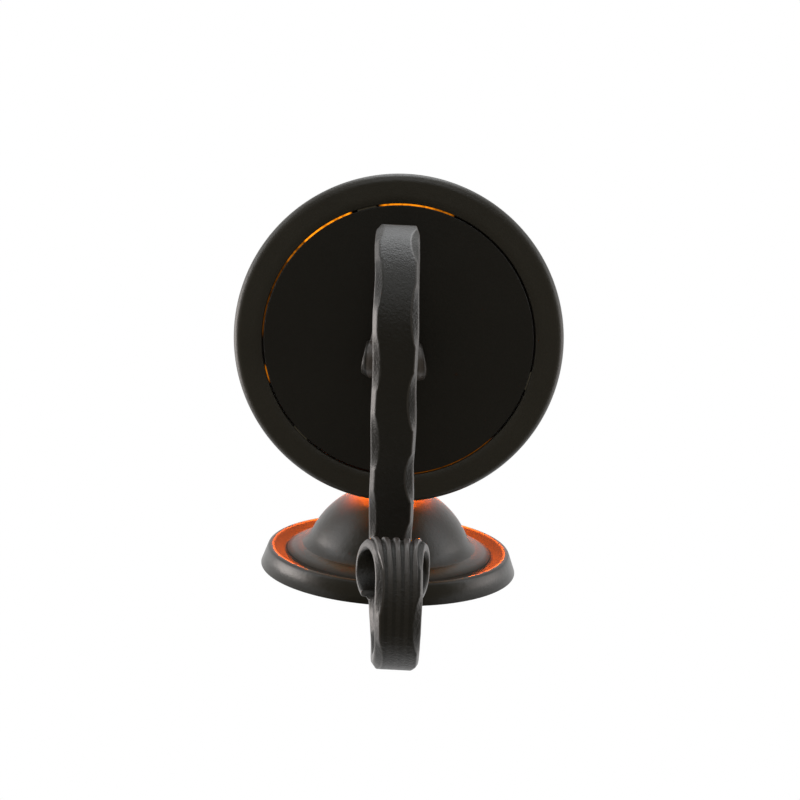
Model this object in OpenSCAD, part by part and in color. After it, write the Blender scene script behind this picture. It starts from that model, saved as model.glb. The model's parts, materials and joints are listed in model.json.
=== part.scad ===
// Candle wall light: a stepped wall canopy, a forged S-scroll arm with fishtail ends,
// a drip pan with a separate centre plate, and a lift-off wax sleeve over a screw-in bulb.
// The origin is the centre of the canopy's back, on the wall plane. Z is up, and the light
// stands out from the wall along -Y. Millimetres.

/* [Wall canopy] */
// Diameter of the canopy where it meets the wall
canopy_d = 133.4; // [129:0.1:142]
// Diameter across the rolled edge of the rim
rim_d = 127.2; // [124:0.1:129]
// Height of the rim above the wall
rim_h = 10; // [9:0.5:13]
// Radius of the rolled edge of the rim
rim_round = 2; // [1.8:0.1:2.4]
// Thickness of the spun sheet
sheet_t = 1.2; // [0.8:0.1:1.5]
// Height of the ledge above the wall, at the crease
ledge_h = 11.3; // [10.8:0.1:12.5]
// Radius of the ledge's broad rounded shoulder
ledge_round = 18; // [16:0.5:22]
// Slope of the ledge at the crease, in degrees
ledge_lean = 7; // [4:0.5:10]
// Slope of the dished brim between the rim and the ledge, in degrees
dish_lean = 20; // [16:1:24]
// Radius of the hollow where the dish meets the ledge
hollow_r = 1.8; // [1.4:0.1:2.4]
// Diameter of the crease at the foot of the dome
crease_d = 91; // [89:0.5:93]
// Radius of the hollow flare at the foot of the dome
flare_r = 12; // [9:0.5:15]
// Radius of the round dome
dome_r = 45; // [43:0.5:47]
// Height of the dome's top above the wall
dome_h = 43; // [41:0.5:46]

/* [Mounting strap] */
// Metal left beyond each box-screw slot
strap_end = 2.8; // [2:0.1:4]
// Width of the strap
strap_w = 20; // [18:1:26]
// Thickness of the strap
strap_t = 2.5; // [2:0.1:3.5]
// Distance between the centres of the two box-screw slots
slot_pitch = 79.4; // [74:0.1:80]
// Length of each slot from end to end
slot_len = 15; // [10:0.5:15]
// Width of each slot
slot_w = 4.6; // [4:0.1:5.5]
// Diameter of the earth screw's thread
earth_d = 4; // [3:0.5:5]
// Distance of the earth screw from the strap's centre
earth_x = 19; // [17:0.5:21]

/* [Nipple and neck] */
// Outer diameter of the threaded nipple that ties the light to the strap
nipple_d = 9.7; // [8:0.1:11]
// Diameter of the wire way through the nipple
wireway_d = 6.4; // [5:0.1:7]
// Width of the hexagon nuts across their flats
nut_flats = 14.3; // [13:0.1:16]
// Thickness of the hexagon nuts
nut_t = 4; // [3:0.1:5]
// Diameter of the round collar nut on the dome
collar_d = 22; // [18:0.5:26]
// Height of the collar nut above the dome
collar_h = 6; // [5:0.5:8]
// Outer diameter of the neck tube between the collar and the bracket
neck_d = 13; // [12.5:0.1:14]
// Length of nipple that stands out past the last nut
nipple_tail = 4; // [2:0.5:6]

/* [Drip pan] */
// Distance of the pan's centre from the wall
pan_reach = 125; // [123:0.5:130]
// Distance of the pan's underside below the canopy's centre
pan_drop = 50; // [48:0.5:54]
// Outer diameter of the drip pan
pan_d = 157.4; // [154:0.2:162]
// Thickness of the pan's sheet
pan_t = 2.5; // [2:0.1:3]
// Height of the pan's upturned rim
pan_rim_h = 12; // [9:0.5:16]
// Outer radius of the bend between the pan's floor and its rim
pan_round = 4; // [3.5:0.1:6]
// Diameter of the centre plate
plate_d = 128.4; // [128:0.1:134]
// Thickness of the centre plate
plate_t = 3; // [2.5:0.1:4]
// Width of the ring gap between the plate and the pan
ring_gap = 0.8; // [0.6:0.1:2]
// Number of tabs that join the plate to the pan across the gap
tab_count = 3; // [3:1:5]
// Length of each tab along the gap
tab_len = 9; // [6:0.5:12]
// Direction of the first tab, in degrees round the pan
tab_turn = 106; // [90:1:120]

/* [Scroll arm] */
// Width of the flat bar
bar_w = 19.4; // [18:0.1:21]
// Thickness of the flat bar
bar_t = 8; // [7:0.5:9]
// Centre-line radius of the upper loop
upper_r = 40; // [36:0.5:42]
// Length of the straight seat beyond the locking screw's centre
seat_front = 1.3; // [1:0.1:4]
// Length of the straight seat behind the stud's centre
seat_back = 6; // [5.5:0.1:8]
// Centre-line radius of the upper fishtail's curl
upper_curl_r = 6.6; // [6.4:0.1:8]
// Centre-line radius of the lower loop
lower_r = 24.5; // [22:0.5:27]
// Distance of the lower loop's centre below the canopy's centre
lower_drop = 141; // [138:0.5:150]
// Radius of the easy bend between the lower loop and its curl
ease_r = 38; // [34:1:44]
// Turn of that easy bend, in degrees
ease_turn = 35; // [30:1:40]
// Centre-line radius of the lower fishtail's curl
lower_curl_r = 10; // [9:0.1:11]
// Turn of each fishtail's curl, in degrees
curl_turn = 262; // [240:2:270]
// Pull of the long bend between the two loops
link_pull = 46; // [35:1:55]
// Width across the tip of each fishtail
tail_w = 30.6; // [26:0.1:32]
// Thickness at the tip of each fishtail
tail_t = 2.4; // [2:0.1:3]
// Length over which each end spreads into its fishtail
spread_len = 62; // [50:1:70]
// Length over which the lower end is drawn out thin
draw_len = 80; // [70:1:90]
// Distance from the tip at which the fishtail is widest
spread_full = 19; // [14:1:24]
// How far each side of the fishtail draws in again at its tip
tip_draw = 2.4; // [0:0.2:4]
// Number of ribs drawn out on each fishtail
rib_count = 5; // [4:1:6]
// Height of the ribs
rib_h = 0.9; // [0.4:0.1:1.1]
// Length over which the ribs fade out into the bar
rib_len = 92; // [70:1:100]
// Reach of the widest hammered facet across the bar's face
facet_c = 4.2; // [3:0.1:4.4]
// Drop of the hammered facets down the bar's side
facet_drop = 1.8; // [1.2:0.1:2.4]
// Distance from one hammered facet to the next along an edge
facet_pitch = 33.7; // [26:0.1:40]
// Share of that distance that each facet takes up
facet_share = 0.7; // [0.5:0.05:0.9]
// Width of the broken edge between facets on the bar's left, seen from below
edge_left = 2.4; // [1:0.1:2.8]
// Width of the broken edge between facets on the bar's right
edge_right = 1.4; // [1:0.1:2.8]
// Drop of the broken edges down the bar's side
edge_drop = 2.6; // [1.6:0.1:2.7]
// Sideways lean of the lower curl
curl_lean = 3.6; // [0:0.1:6]
// Sideways offset of the bar from the pan's centre
arm_shift = 2; // [0:0.1:2.2]
// Turn of the arm about its stud, in degrees
arm_yaw = 1.4; // [0:0.1:2]
// Lean of the arm from the upright, in degrees
arm_roll = 1.1; // [0:0.1:2]

/* [Bracket and stud] */
// Width of the upright bracket
bracket_w = 22; // [20:0.5:26]
// Thickness of the upright bracket
bracket_t = 3; // [2.5:0.1:4]
// Radius inside the bracket's bend
bend_r = 3; // [2:0.5:5]
// Height of the upright above the nipple's centre
bracket_over = 12; // [11:0.5:16]
// Length of the foot beyond the locking screw
foot_tail = 9; // [7:0.5:12]
// Depth of the stud in the arm
stud_depth = 6; // [4:0.5:6.5]
// Diameter of the screw that stops the arm from turning
lock_d = 5; // [4:0.5:5.5]
// Diameter of that screw's head
lock_head_d = 8.5; // [8:0.1:10]
// Height of that screw's head
lock_head_h = 3; // [2.5:0.1:4]

/* [Candle sleeve] */
// Outer diameter of the wax sleeve
sleeve_d = 131.4; // [131:0.1:132]
// Wall of the wax sleeve
sleeve_t = 4.5; // [3.5:0.1:5]
// Height of the wax sleeve
sleeve_h = 156; // [145:1:175]
// Rise and fall of the melted top edge
melt_h = 3; // [0:0.25:5]
// Depth of the wax runs down the outside
run_depth = 1.6; // [0.5:0.1:2]
// Width of the slot that clears the neck tube
slot_clear_w = 16; // [15.5:0.5:19]
// Height of the lugs that centre the sleeve
lug_h = 8; // [6:0.5:10]
// Thickness of the lugs
lug_t = 1.5; // [1:0.1:2]

/* [Lampholder and bulb] */
// Outer diameter of the lampholder
holder_d = 38; // [37:0.5:42]
// Height of the lampholder
holder_h = 42; // [40:0.5:48]
// Diameter of the lampholder's threaded hub
hub_d = 20; // [18:0.5:24]
// Bore inside the brass screw shell
shell_bore = 26.8; // [26.6:0.1:27.4]
// Thickness of the brass screw shell
shell_t = 0.6; // [0.4:0.1:0.9]
// Depth of the brass screw shell
shell_h = 25; // [23:0.5:27]
// Distance of the retaining ring's foot below the lampholder's top
ring_drop = 12; // [10:0.5:14]
// Height of the retaining ring
ring_h = 6; // [5:0.5:8]
// Diameter of the terminal screws' heads
terminal_d = 6; // [5:0.1:6.5]
// Outer diameter of the bulb's screw cap
cap_d = 26; // [25.6:0.1:26.1]
// Height of the bulb's screw cap
cap_h = 22; // [20:0.5:23]
// Largest diameter of the bulb's glass
globe_d = 50; // [44:1:60]
// Height of the bulb's glass above its cap
globe_h = 78; // [70:1:88]
// Thickness of the bulb's glass
glass_t = 1; // [0.8:0.1:1.5]
// Number of light strips inside the bulb
strip_count = 4; // [2:1:6]

/* [Clearances] */
// Gap round a screwed or tapped joint
thread_gap = 0.05; // [0.02:0.01:0.1]
// Gap between pieces that move past each other
run_gap = 0.3; // [0.25:0.05:0.5]
// Gap between the sleeve's inside and the bracket
bracket_gap = 1.7; // [1:0.1:3]

/* [Hidden] */

fine = 96;
iron = [0.11, 0.105, 0.1];
zinc = [0.72, 0.72, 0.7];
brass = [0.78, 0.62, 0.32];
wax = [0.93, 0.72, 0.42];

// Heights of the stack on the plate
pan_z = -pan_drop;
plate_top = pan_z + plate_t;
foot_top = plate_top + bracket_t;
holder_lift = 2;
hub_grip = 7;
holder_z = foot_top + nut_t + holder_lift;
stud_top = holder_z + hub_grip;
terminal_h = 11;
shell_z = holder_z + holder_h - shell_h;
contact_t = 1;
tip_h = 2.6;
tip_r = 2.5;
tip_z = shell_z + shell_t + contact_t + run_gap;
cap_z = tip_z + tip_h;
globe_z = cap_z + cap_h;

strap_len = slot_pitch + slot_len + 2 * strap_end;

// Distances of the nipple's stack from the wall
neck_start = dome_h + collar_h;
sleeve_in_r = sleeve_d / 2 - sleeve_t;
upright_u = pan_reach - sqrt(sleeve_in_r * sleeve_in_r - bracket_w * bracket_w / 4) + bracket_gap;
inner_nut_u = upright_u + bracket_t;
nipple_end = inner_nut_u + nut_t + nipple_tail;
lock_pitch = nut_flats / 2 + lock_head_d / 2 + run_gap;
lock_u = pan_reach + lock_pitch;

function arc(c, r, a, b, n) = [for (i = [0:n]) c + r * [cos(a + (b - a) * i / n), sin(a + (b - a) * i / n)]];
function reverse(list) = [for (i = [len(list) - 1:-1:0]) list[i]];
function bearing(v) = atan2(v.y, v.x);
// The left crossing of a circle round p and a circle round q
function crossing(p, rp, q, rq) =
    let (d = norm(q - p), along = (d * d + rp * rp - rq * rq) / (2 * d), side = sqrt(rp * rp - along * along))
    p + (along * (q - p) + side * [-(q - p).y, (q - p).x]) / d;
function smooth(t) = let (s = max(0, min(1, t))) s * s * (3 - 2 * s);

// Turns a shape made on the XY plane so that its Z runs out from the wall
module from_wall(u = 0) {
    translate([0, -u, 0]) rotate([90, 0, 0]) children();
}
// Puts a shape on the pan's axis at height z
module on_pan(z = 0, u = pan_reach) {
    translate([0, -u, z]) children();
}
module hex_nut(flats, thick, hole_r) {
    difference() {
        cylinder(h = thick, d = flats / cos(30), $fn = 6);
        translate([0, 0, -1]) cylinder(h = thick + 2, r = hole_r, $fn = fine);
    }
}
module tube(h, r_out, r_in) {
    difference() {
        cylinder(h = h, r = r_out, $fn = fine);
        translate([0, 0, -1]) cylinder(h = h + 2, r = r_in, $fn = fine);
    }
}
module slot_outline(length, width) {
    square([length - width, width], center = true);
    for (s = [-1, 1]) translate([s * (length - width) / 2, 0]) circle(d = width, $fn = fine);
}

// Canopy: one spun sheet, drawn from the wall to the nipple hole, o inside its face
lean = atan((canopy_d - rim_d) / 2 / rim_h);
rim_c = [rim_d / 2 - rim_round, rim_h - rim_round];
crease = [crease_d / 2, ledge_h];
ledge_c = crease - ledge_round * [sin(ledge_lean), cos(ledge_lean)];
// The hollow's centre rolls down beside the dish until the hollow meets the ledge
dish_down = [-cos(dish_lean), -sin(dish_lean)];
dish_from = rim_c + (rim_round + hollow_r) * [-sin(dish_lean), cos(dish_lean)];
dish_to = (ledge_c - dish_from) * dish_down;
ledge_way = norm(ledge_c - dish_from);
dish_len = dish_to - sqrt(pow(dish_to, 2) - pow(ledge_way, 2) + pow(ledge_round + hollow_r, 2));
hollow_c = dish_from + dish_len * dish_down;
dome_c = [0, dome_h - dome_r];
flare_c = crossing(dome_c, dome_r + flare_r, crease, flare_r);
nipple_hole_r = nipple_d / 2 + run_gap;
function canopy_line(o) = concat(
    [[canopy_d / 2 - o / cos(lean), 0]],
    arc(rim_c, rim_round - o, lean, 90 + dish_lean, 7),
    arc(hollow_c, hollow_r + o, dish_lean - 90, bearing(ledge_c - hollow_c), 6),
    arc(ledge_c, ledge_round - o, bearing(hollow_c - ledge_c), 89 - ledge_lean, 6),
    arc(flare_c, flare_r + o, bearing(crease - flare_c), bearing(dome_c - flare_c), 6),
    let (r = dome_r - o) arc(dome_c, r, bearing(flare_c - dome_c) + 2, acos(nipple_hole_r / r), 16)
);
module wall_canopy() {
    color(iron) from_wall() rotate_extrude($fn = fine)
        polygon(concat(canopy_line(0), reverse(canopy_line(sheet_t))));
}

module mounting_strap() {
    color(zinc) from_wall() linear_extrude(strap_t) difference() {
        slot_outline(strap_len, strap_w);
        for (s = [-1, 1]) translate([s * slot_pitch / 2, 0]) slot_outline(slot_len, slot_w);
        circle(r = nipple_d / 2 + thread_gap, $fn = fine);
        translate([earth_x, 0]) circle(r = earth_d / 2 + thread_gap, $fn = fine);
    }
}
module earth_screw() {
    color([0.2, 0.5, 0.25]) from_wall() translate([earth_x, 0, 0]) {
        cylinder(h = strap_t, d = earth_d, $fn = fine);
        translate([0, 0, strap_t]) difference() {
            cylinder(h = 2.8, d = earth_d * 2, $fn = 6);
            translate([-earth_d, -0.5, 1.8]) cube([earth_d * 2, 1, 2]);
        }
    }
}
module strap_nut() {
    color(zinc) from_wall(strap_t) hex_nut(nut_flats, nut_t, nipple_d / 2 + thread_gap);
}
module nipple() {
    color(zinc) from_wall() tube(nipple_end, nipple_d / 2, wireway_d / 2);
}
module collar_nut() {
    grip = 0.6;
    color(iron) from_wall() difference() {
        union() {
            translate([0, 0, dome_h - 3]) cylinder(h = collar_h + 3 - grip, d = collar_d, $fn = fine);
            translate([0, 0, dome_h + collar_h - grip])
                cylinder(h = grip, d1 = collar_d, d2 = collar_d - 2 * grip, $fn = fine);
        }
        translate([0, 0, dome_h - dome_r]) sphere(r = dome_r, $fn = fine);
        cylinder(h = dome_h + collar_h + 1, r = nipple_d / 2 + thread_gap, $fn = fine);
    }
}
module neck_tube() {
    color(iron) from_wall(neck_start)
        tube(upright_u - neck_start, neck_d / 2, nipple_d / 2 + thread_gap);
}
module nipple_nut() {
    color(zinc) from_wall(inner_nut_u) hex_nut(nut_flats, nut_t, nipple_d / 2 + thread_gap);
}
// Rounded bush screwed over the nipple's end, which keeps the wires off its edge
module wire_bush() {
    lip = 1.5;
    wall = 1.6;
    bore = nipple_d / 2 + thread_gap;
    color(brass) from_wall(nipple_end) rotate_extrude($fn = fine) polygon(concat(
        [[bore, 0], [bore, 0.5 - nipple_tail], [bore + wall, 0.5 - nipple_tail]],
        arc([bore + wall - lip, 0], lip, 0, 90, 6),
        arc([wireway_d / 2 + 0.5, lip - 0.5], 0.5, 90, 180, 4),
        [[wireway_d / 2, 0]]
    ));
}

// Bracket: one bent strip, an upright on the nipple and a foot under the lampholder
foot_end = lock_u + foot_tail;
module bracket_side() {
    up = bracket_over - plate_top;
    along = foot_end - upright_u;
    bend = bend_r + bracket_t;
    translate([0, bend]) square([bracket_t, up - bend]);
    translate([bend, 0]) square([along - bend, bracket_t]);
    translate([bend, bend]) intersection() {
        difference() {
            circle(r = bend, $fn = fine);
            circle(r = bend_r, $fn = fine);
        }
        translate([-bend, -bend]) square(bend);
    }
}
module upright_bracket() {
    color(zinc) difference() {
        translate([bracket_w / 2, -upright_u, plate_top]) rotate([90, 0, -90])
            linear_extrude(bracket_w) bracket_side();
        from_wall(upright_u - 1) cylinder(h = bracket_t + 2, r = nipple_d / 2 + thread_gap, $fn = fine);
        on_pan(plate_top - 1) cylinder(h = bracket_t + 2, r = nipple_d / 2 + thread_gap, $fn = fine);
        on_pan(plate_top - 1, lock_u) cylinder(h = bracket_t + 2, r = lock_d / 2 + run_gap, $fn = fine);
    }
}

// Scroll arm. The path runs from the upper tip to the lower tip in the plane of the wall light,
// as [distance from the wall, distance below the canopy's centre, heading in degrees].
step_len = 4;
curl_steps = 15;
seat_w = pan_drop + bar_t / 2;
upper_c = [lock_u + seat_front, seat_w + upper_r];
upper_curl_c = [pan_reach - seat_back, seat_w + upper_curl_r];
upper_curl_len = upper_curl_r * curl_turn * PI / 180;
lower_c = [lower_r + bar_t / 2, lower_drop];
ease_c = lower_c + [0, lower_r - ease_r];
ease_end = ease_c + ease_r * [sin(ease_turn), cos(ease_turn)];
lower_curl_c = ease_end - lower_curl_r * [sin(ease_turn), cos(ease_turn)];
link_a = upper_c + [0, upper_r];
link_b = lower_c - [0, lower_r];
function turn_steps(c, r, a, b, n) = [
    for (i = [0:n])
        let (p = a + (b - a) * i / n)
        [c.x + r * cos(p), c.y + r * sin(p), p + 90 * sign(b - a)]
];
function bezier(t) =
    let (p = [link_a, link_a - [link_pull, 0], link_b + [link_pull, 0], link_b], s = 1 - t)
    s * s * s * p[0] + 3 * s * s * t * p[1] + 3 * s * t * t * p[2] + t * t * t * p[3];
function link_steps(n) = [
    for (i = [1:n - 1])
        let (t = i / n, q = bezier(t), d = bezier(t + 0.01) - bezier(t - 0.01))
        [q.x, q.y, bearing(d)]
];
arm_path = concat(
    turn_steps(upper_curl_c, upper_curl_r, 270 - curl_turn, 270, curl_steps),
    turn_steps(upper_c, upper_r, -90, 90, round(PI * upper_r / step_len)),
    link_steps(26),
    turn_steps(lower_c, lower_r, 270, 90, round(PI * lower_r / step_len)),
    [for (p = turn_steps(ease_c, ease_r, 90, 90 - ease_turn, 5)) if (p.x > lower_c.x + 1) p],
    [for (i = [1:curl_steps])
        turn_steps(lower_curl_c, lower_curl_r, 90 - ease_turn, 90 - ease_turn - curl_turn, curl_steps)[i]]
);
arm_n = len(arm_path);
function stride(i) =
    i < arm_n - 1 ? norm([arm_path[i + 1].x - arm_path[i].x, arm_path[i + 1].y - arm_path[i].y]) : 0;
arm_s = [for (i = 0, s = 0; i < arm_n; s = s + stride(i), i = i + 1) s];
arm_len = arm_s[arm_n - 1];

// Hammer blows: the broken edge k at distance s along the bar, which each blow spreads into a
// shallow facet, as [reach across the face, drop down the side]
facet_starts = [6.1, 20.1, 12.5, 30];
edge_cuts = [edge_left, edge_right, edge_right, edge_left];
function blow(s, k) =
    let (
        w = (s - facet_starts[k]) / facet_pitch + 0.04 * sin(s * 2.3 + k * 100),
        part = min(1, (w - floor(w)) / facet_share),
        deep = (0.86 + 0.14 * sin(floor(w) * 137 + k * 50)) * pow(max(0, sin(180 * part)), 0.75)
    )
    [edge_cuts[k], edge_drop] + deep * [facet_c - edge_cuts[k], facet_drop - edge_drop];
function spread(s) = pow(smooth((spread_len - min(s, arm_len - s)) / (spread_len - spread_full)), 2);
function toward_tip(s, upper_len, lower_len) =
    s < arm_len / 2 ? 1 - s / upper_len : 1 - (arm_len - s) / lower_len;
function drawn(s) = smooth(toward_tip(s, upper_curl_len, draw_len));
function half_w(s) = (bar_w + (tail_w - bar_w) * spread(s)) / 2 + 0.2 * sin(s * 9)
    - tip_draw * (1 - smooth(min(s, arm_len - s) / 16));
function thick(s) = bar_t + (tail_t - bar_t) * drawn(s);
function rib(s, upper) =
    upper == (s < arm_len / 2) ? rib_h * smooth(1.6 * toward_tip(s, upper_curl_len, rib_len)) : 0;
// Sideways place of the bar's middle
function side_place(i) =
    let (f = arm_s[i] / arm_len)
    -arm_shift - tan(arm_yaw) * (arm_path[i].x - pan_reach) + tan(arm_roll) * (arm_path[i].y - pan_drop)
    + curl_lean * (smooth((f - 0.62) / 0.22) - 0.7 * smooth((f - 0.87) / 0.1));

// One ring of the bar: a face with rib points, two edge points, the other face, two edge points
face_n = 2 * rib_count + 1;
edge_give = 0.12;
function ring(i) =
    let (
        p = arm_path[i],
        s = arm_s[i],
        t = thick(s),
        w = half_w(s),
        fade = 0.25 + 0.75 * smooth((t - tail_t) / (bar_t - tail_t)),
        c = [for (k = [0:3]) blow(s, k)[0] * fade],
        d = [for (k = [0:3]) min(blow(s, k)[1] * fade, t * 0.34)],
        out = [-sin(p[2]), cos(p[2])],
        x0 = side_place(i)
    )
    [for (q = concat(
        [for (j = [0:face_n - 1]) let (f = j / (face_n - 1), ridge = j % 2 == 1 ? rib(s, true) : 0)
            [-w + c[0] + f * (2 * w - c[0] - c[1]), -t / 2 - ridge]],
        [[w - c[1] * edge_give, -t / 2 + d[1]], [w - c[2] * edge_give, t / 2 - d[2]]],
        [for (j = [0:face_n - 1]) let (f = j / (face_n - 1), ridge = j % 2 == 1 ? rib(s, false) : 0)
            [w - c[2] - f * (2 * w - c[2] - c[3]), t / 2 + ridge]],
        [[-w + c[3] * edge_give, t / 2 - d[3]], [-w + c[0] * edge_give, -t / 2 + d[0]]]
    )) [q.x + x0, -(p.x + q.y * out.x), -(p.y + q.y * out.y)]];
module sweep_rings(rings) {
    n = len(rings);
    m = len(rings[0]);
    middle = [for (r = [rings[0], rings[n - 1]]) [for (k = [0:2]) [for (p = r) p[k]] * [for (p = r) 1 / m]]];
    polyhedron(
        points = concat([for (r = rings, p = r) p], middle),
        faces = concat(
            [for (i = [0:n - 2], j = [0:m - 1]) [i * m + j, (i + 1) * m + j, (i + 1) * m + (j + 1) % m]],
            [for (i = [0:n - 2], j = [0:m - 1]) [i * m + j, (i + 1) * m + (j + 1) % m, i * m + (j + 1) % m]],
            [for (j = [0:m - 1]) [n * m, j, (j + 1) % m]],
            [for (j = [0:m - 1]) [n * m + 1, (n - 1) * m + (j + 1) % m, (n - 1) * m + j]]
        )
    );
}
module scroll_arm() {
    color(iron) difference() {
        sweep_rings([for (i = [0:arm_n - 1]) ring(i)]);
        on_pan(pan_z - stud_depth)
            cylinder(h = stud_depth + 2, r = nipple_d / 2 + thread_gap, $fn = fine);
        on_pan(pan_z - stud_depth, lock_u)
            cylinder(h = stud_depth + 2, r = lock_d / 2 + thread_gap, $fn = fine);
    }
}

module centre_stud() {
    color(zinc) on_pan(pan_z - stud_depth)
        cylinder(h = stud_top - pan_z + stud_depth, d = nipple_d, $fn = fine);
}
module stud_nut() {
    color(zinc) on_pan(foot_top) hex_nut(nut_flats, nut_t, nipple_d / 2 + thread_gap);
}
module lock_screw() {
    color(zinc) on_pan(0, lock_u) difference() {
        union() {
            translate([0, 0, pan_z - stud_depth + 1])
                cylinder(h = foot_top - pan_z + stud_depth - 1, d = lock_d, $fn = fine);
            translate([0, 0, foot_top]) cylinder(h = lock_head_h, d = lock_head_d, $fn = fine);
        }
        translate([0, 0, foot_top + lock_head_h / 2]) cylinder(h = lock_head_h, d = lock_head_d / 2, $fn = 6);
    }
}

gap_r = plate_d / 2 + ring_gap;
module base_plate() {
    bevel = 0.4;
    color(iron) on_pan(pan_z) difference() {
        rotate_extrude($fn = fine) polygon([[0, 0], [plate_d / 2 - bevel, 0], [plate_d / 2, bevel],
            [plate_d / 2, plate_t], [0, plate_t]]);
        translate([0, 0, -1]) cylinder(h = plate_t + 2, r = nipple_d / 2 + thread_gap, $fn = fine);
        translate([0, -lock_pitch, -1]) cylinder(h = plate_t + 2, r = lock_d / 2 + run_gap, $fn = fine);
    }
}
module drip_pan() {
    r = pan_d / 2;
    lip = pan_t / 2;
    color(iron) on_pan(pan_z) rotate_extrude($fn = fine) polygon(concat(
        [[gap_r, 0.4], [gap_r + 0.4, 0]],
        arc([r - pan_round, pan_round], pan_round, -90, 0, 10),
        arc([r - lip, pan_rim_h - lip], lip, 0, 180, 8),
        arc([r - pan_round, pan_round], pan_round - pan_t, 0, -90, 6),
        [[gap_r, pan_t]]
    ));
}
module pan_tabs() {
    sweep = tab_len / gap_r * 180 / PI;
    recess = 0.8;
    color(iron) on_pan(pan_z) for (i = [0:tab_count - 1])
        rotate([0, 0, -tab_turn + sweep / -2 + i * 360 / tab_count]) rotate_extrude(angle = sweep, $fn = fine)
            translate([plate_d / 2, recess]) square([ring_gap, min(plate_t, pan_t) - recess]);
}
module sleeve_lugs() {
    sweep = 10;
    foot = 7;
    lug_r = sleeve_in_r - run_gap - lug_t;
    color(zinc) on_pan(plate_top) for (i = [0:2])
        rotate([0, 0, -90 + i * 120 - sweep / 2]) rotate_extrude(angle = sweep, $fn = fine) {
            translate([lug_r, 0]) square([lug_t, lug_h]);
            translate([lug_r - foot, 0]) square([foot, lug_t]);
        }
}

// Candle sleeve: angle a round the candle, height fraction v up its side
run_list = [[12, 0.62, 5], [58, 0.3, 4], [97, 0.45, 6], [141, 0.72, 5], [176, 0.25, 4], [214, 0.5, 5],
    [236, 0.35, 4], [305, 0.66, 6], [338, 0.28, 4]];
function apart(a, b) = abs((a - b + 540) % 360 - 180);
function run(a, z) = max([for (q = run_list)
    exp(-pow(apart(a, q[0]) / q[2], 2)) * smooth((z / sleeve_h - 1 + q[1]) * 9)]);
function melt(a) = melt_h * (0.5 * sin(a * 2 + 40) + 0.3 * sin(a * 3 - 70) + 0.2 * sin(a * 5));
function sleeve_section(a) =
    let (r = sleeve_d / 2, ri = sleeve_in_r, top = sleeve_h - melt_h + melt(a), lip = sleeve_t / 2)
    concat(
        [[r - 0.8, 0], [r, 0.8]],
        [for (z = [0.2:0.1:0.9]) [r + run_depth * run(a, top * z), top * z]],
        [for (p = arc([r - lip, top - lip], lip, 15, 165, 5))
            p + [run_depth * run(a, top) * max(0, (p.x - r + lip) / lip), 0]],
        [[ri, top * 0.9], [ri, top * 0.5], [ri, 0]]
    );
module candle_sleeve() {
    n = 96;
    sections = [for (i = [0:n - 1]) sleeve_section(i * 360 / n)];
    m = len(sections[0]);
    color(wax) on_pan(plate_top) difference() {
        polyhedron(
            points = [for (i = [0:n - 1], p = sections[i])
                [p.x * cos(i * 360 / n), p.x * sin(i * 360 / n), p.y]],
            faces = concat(
                [for (i = [0:n - 1], j = [0:m - 1])
                    [i * m + j, i * m + (j + 1) % m, ((i + 1) % n) * m + (j + 1) % m]],
                [for (i = [0:n - 1], j = [0:m - 1])
                    [i * m + j, ((i + 1) % n) * m + (j + 1) % m, ((i + 1) % n) * m + j]]
            )
        );
        translate([-slot_clear_w / 2, 0, -1]) cube([slot_clear_w, sleeve_d, 1 - plate_top]);
        translate([0, 0, -plate_top]) rotate([-90, 0, 0])
            cylinder(h = sleeve_d, d = slot_clear_w, $fn = fine);
    }
}

// Lampholder: a moulded body with a threaded hub, a retaining ring and a brass screw shell
shell_r = shell_bore / 2 + shell_t;
thread_depth = 1.2;
module lampholder() {
    r = holder_d / 2;
    color([0.93, 0.92, 0.88]) on_pan(holder_z) difference() {
        rotate_extrude($fn = fine) polygon(concat(
            [[0, 0], [hub_d / 2 - 1, 0], [hub_d / 2, 1], [hub_d / 2, 5]],
            arc([r - 5, 11], 5, -60, 0, 6),
            [[r, holder_h - ring_drop - 2], [r - thread_depth, holder_h - ring_drop - 2],
                [r - thread_depth, holder_h - 3]],
            arc([r - 3.2, holder_h - 2], 2, 0, 90, 5),
            [[shell_r, holder_h], [shell_r, holder_h - shell_h], [0, holder_h - shell_h]]
        ));
        translate([0, 0, -1]) cylinder(h = hub_grip + 2, r = nipple_d / 2 + thread_gap, $fn = fine);
        for (s = [-1, 1]) translate([s * r, 0, terminal_h]) rotate([0, -90 * s, 0])
            cylinder(h = 3, d = terminal_d + 0.4, $fn = fine);
    }
}
module holder_ring() {
    r = holder_d / 2;
    grips = 24;
    edge = 0.7;
    color([0.85, 0.84, 0.8]) on_pan(holder_z + holder_h - ring_drop) difference() {
        rotate_extrude($fn = fine) polygon([[r - thread_depth + thread_gap, 0], [r + 1.3, 0],
            [r + 1.3, ring_h - edge], [r + 1.3 - edge, ring_h], [r - thread_depth + thread_gap, ring_h]]);
        for (i = [0:grips - 1]) rotate([0, 0, i * 360 / grips]) translate([r + 1.9, 0, -1])
            cylinder(h = ring_h + 2, r = 1, $fn = 16);
    }
}
module screw_shell() {
    color(brass) on_pan(shell_z) {
        difference() {
            cylinder(h = shell_h, r = shell_r, $fn = fine);
            translate([0, 0, shell_t]) cylinder(h = shell_h, d = shell_bore, $fn = fine);
            translate([0, 0, -1]) cylinder(h = 3, r = 6, $fn = fine);
        }
    }
}
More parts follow.
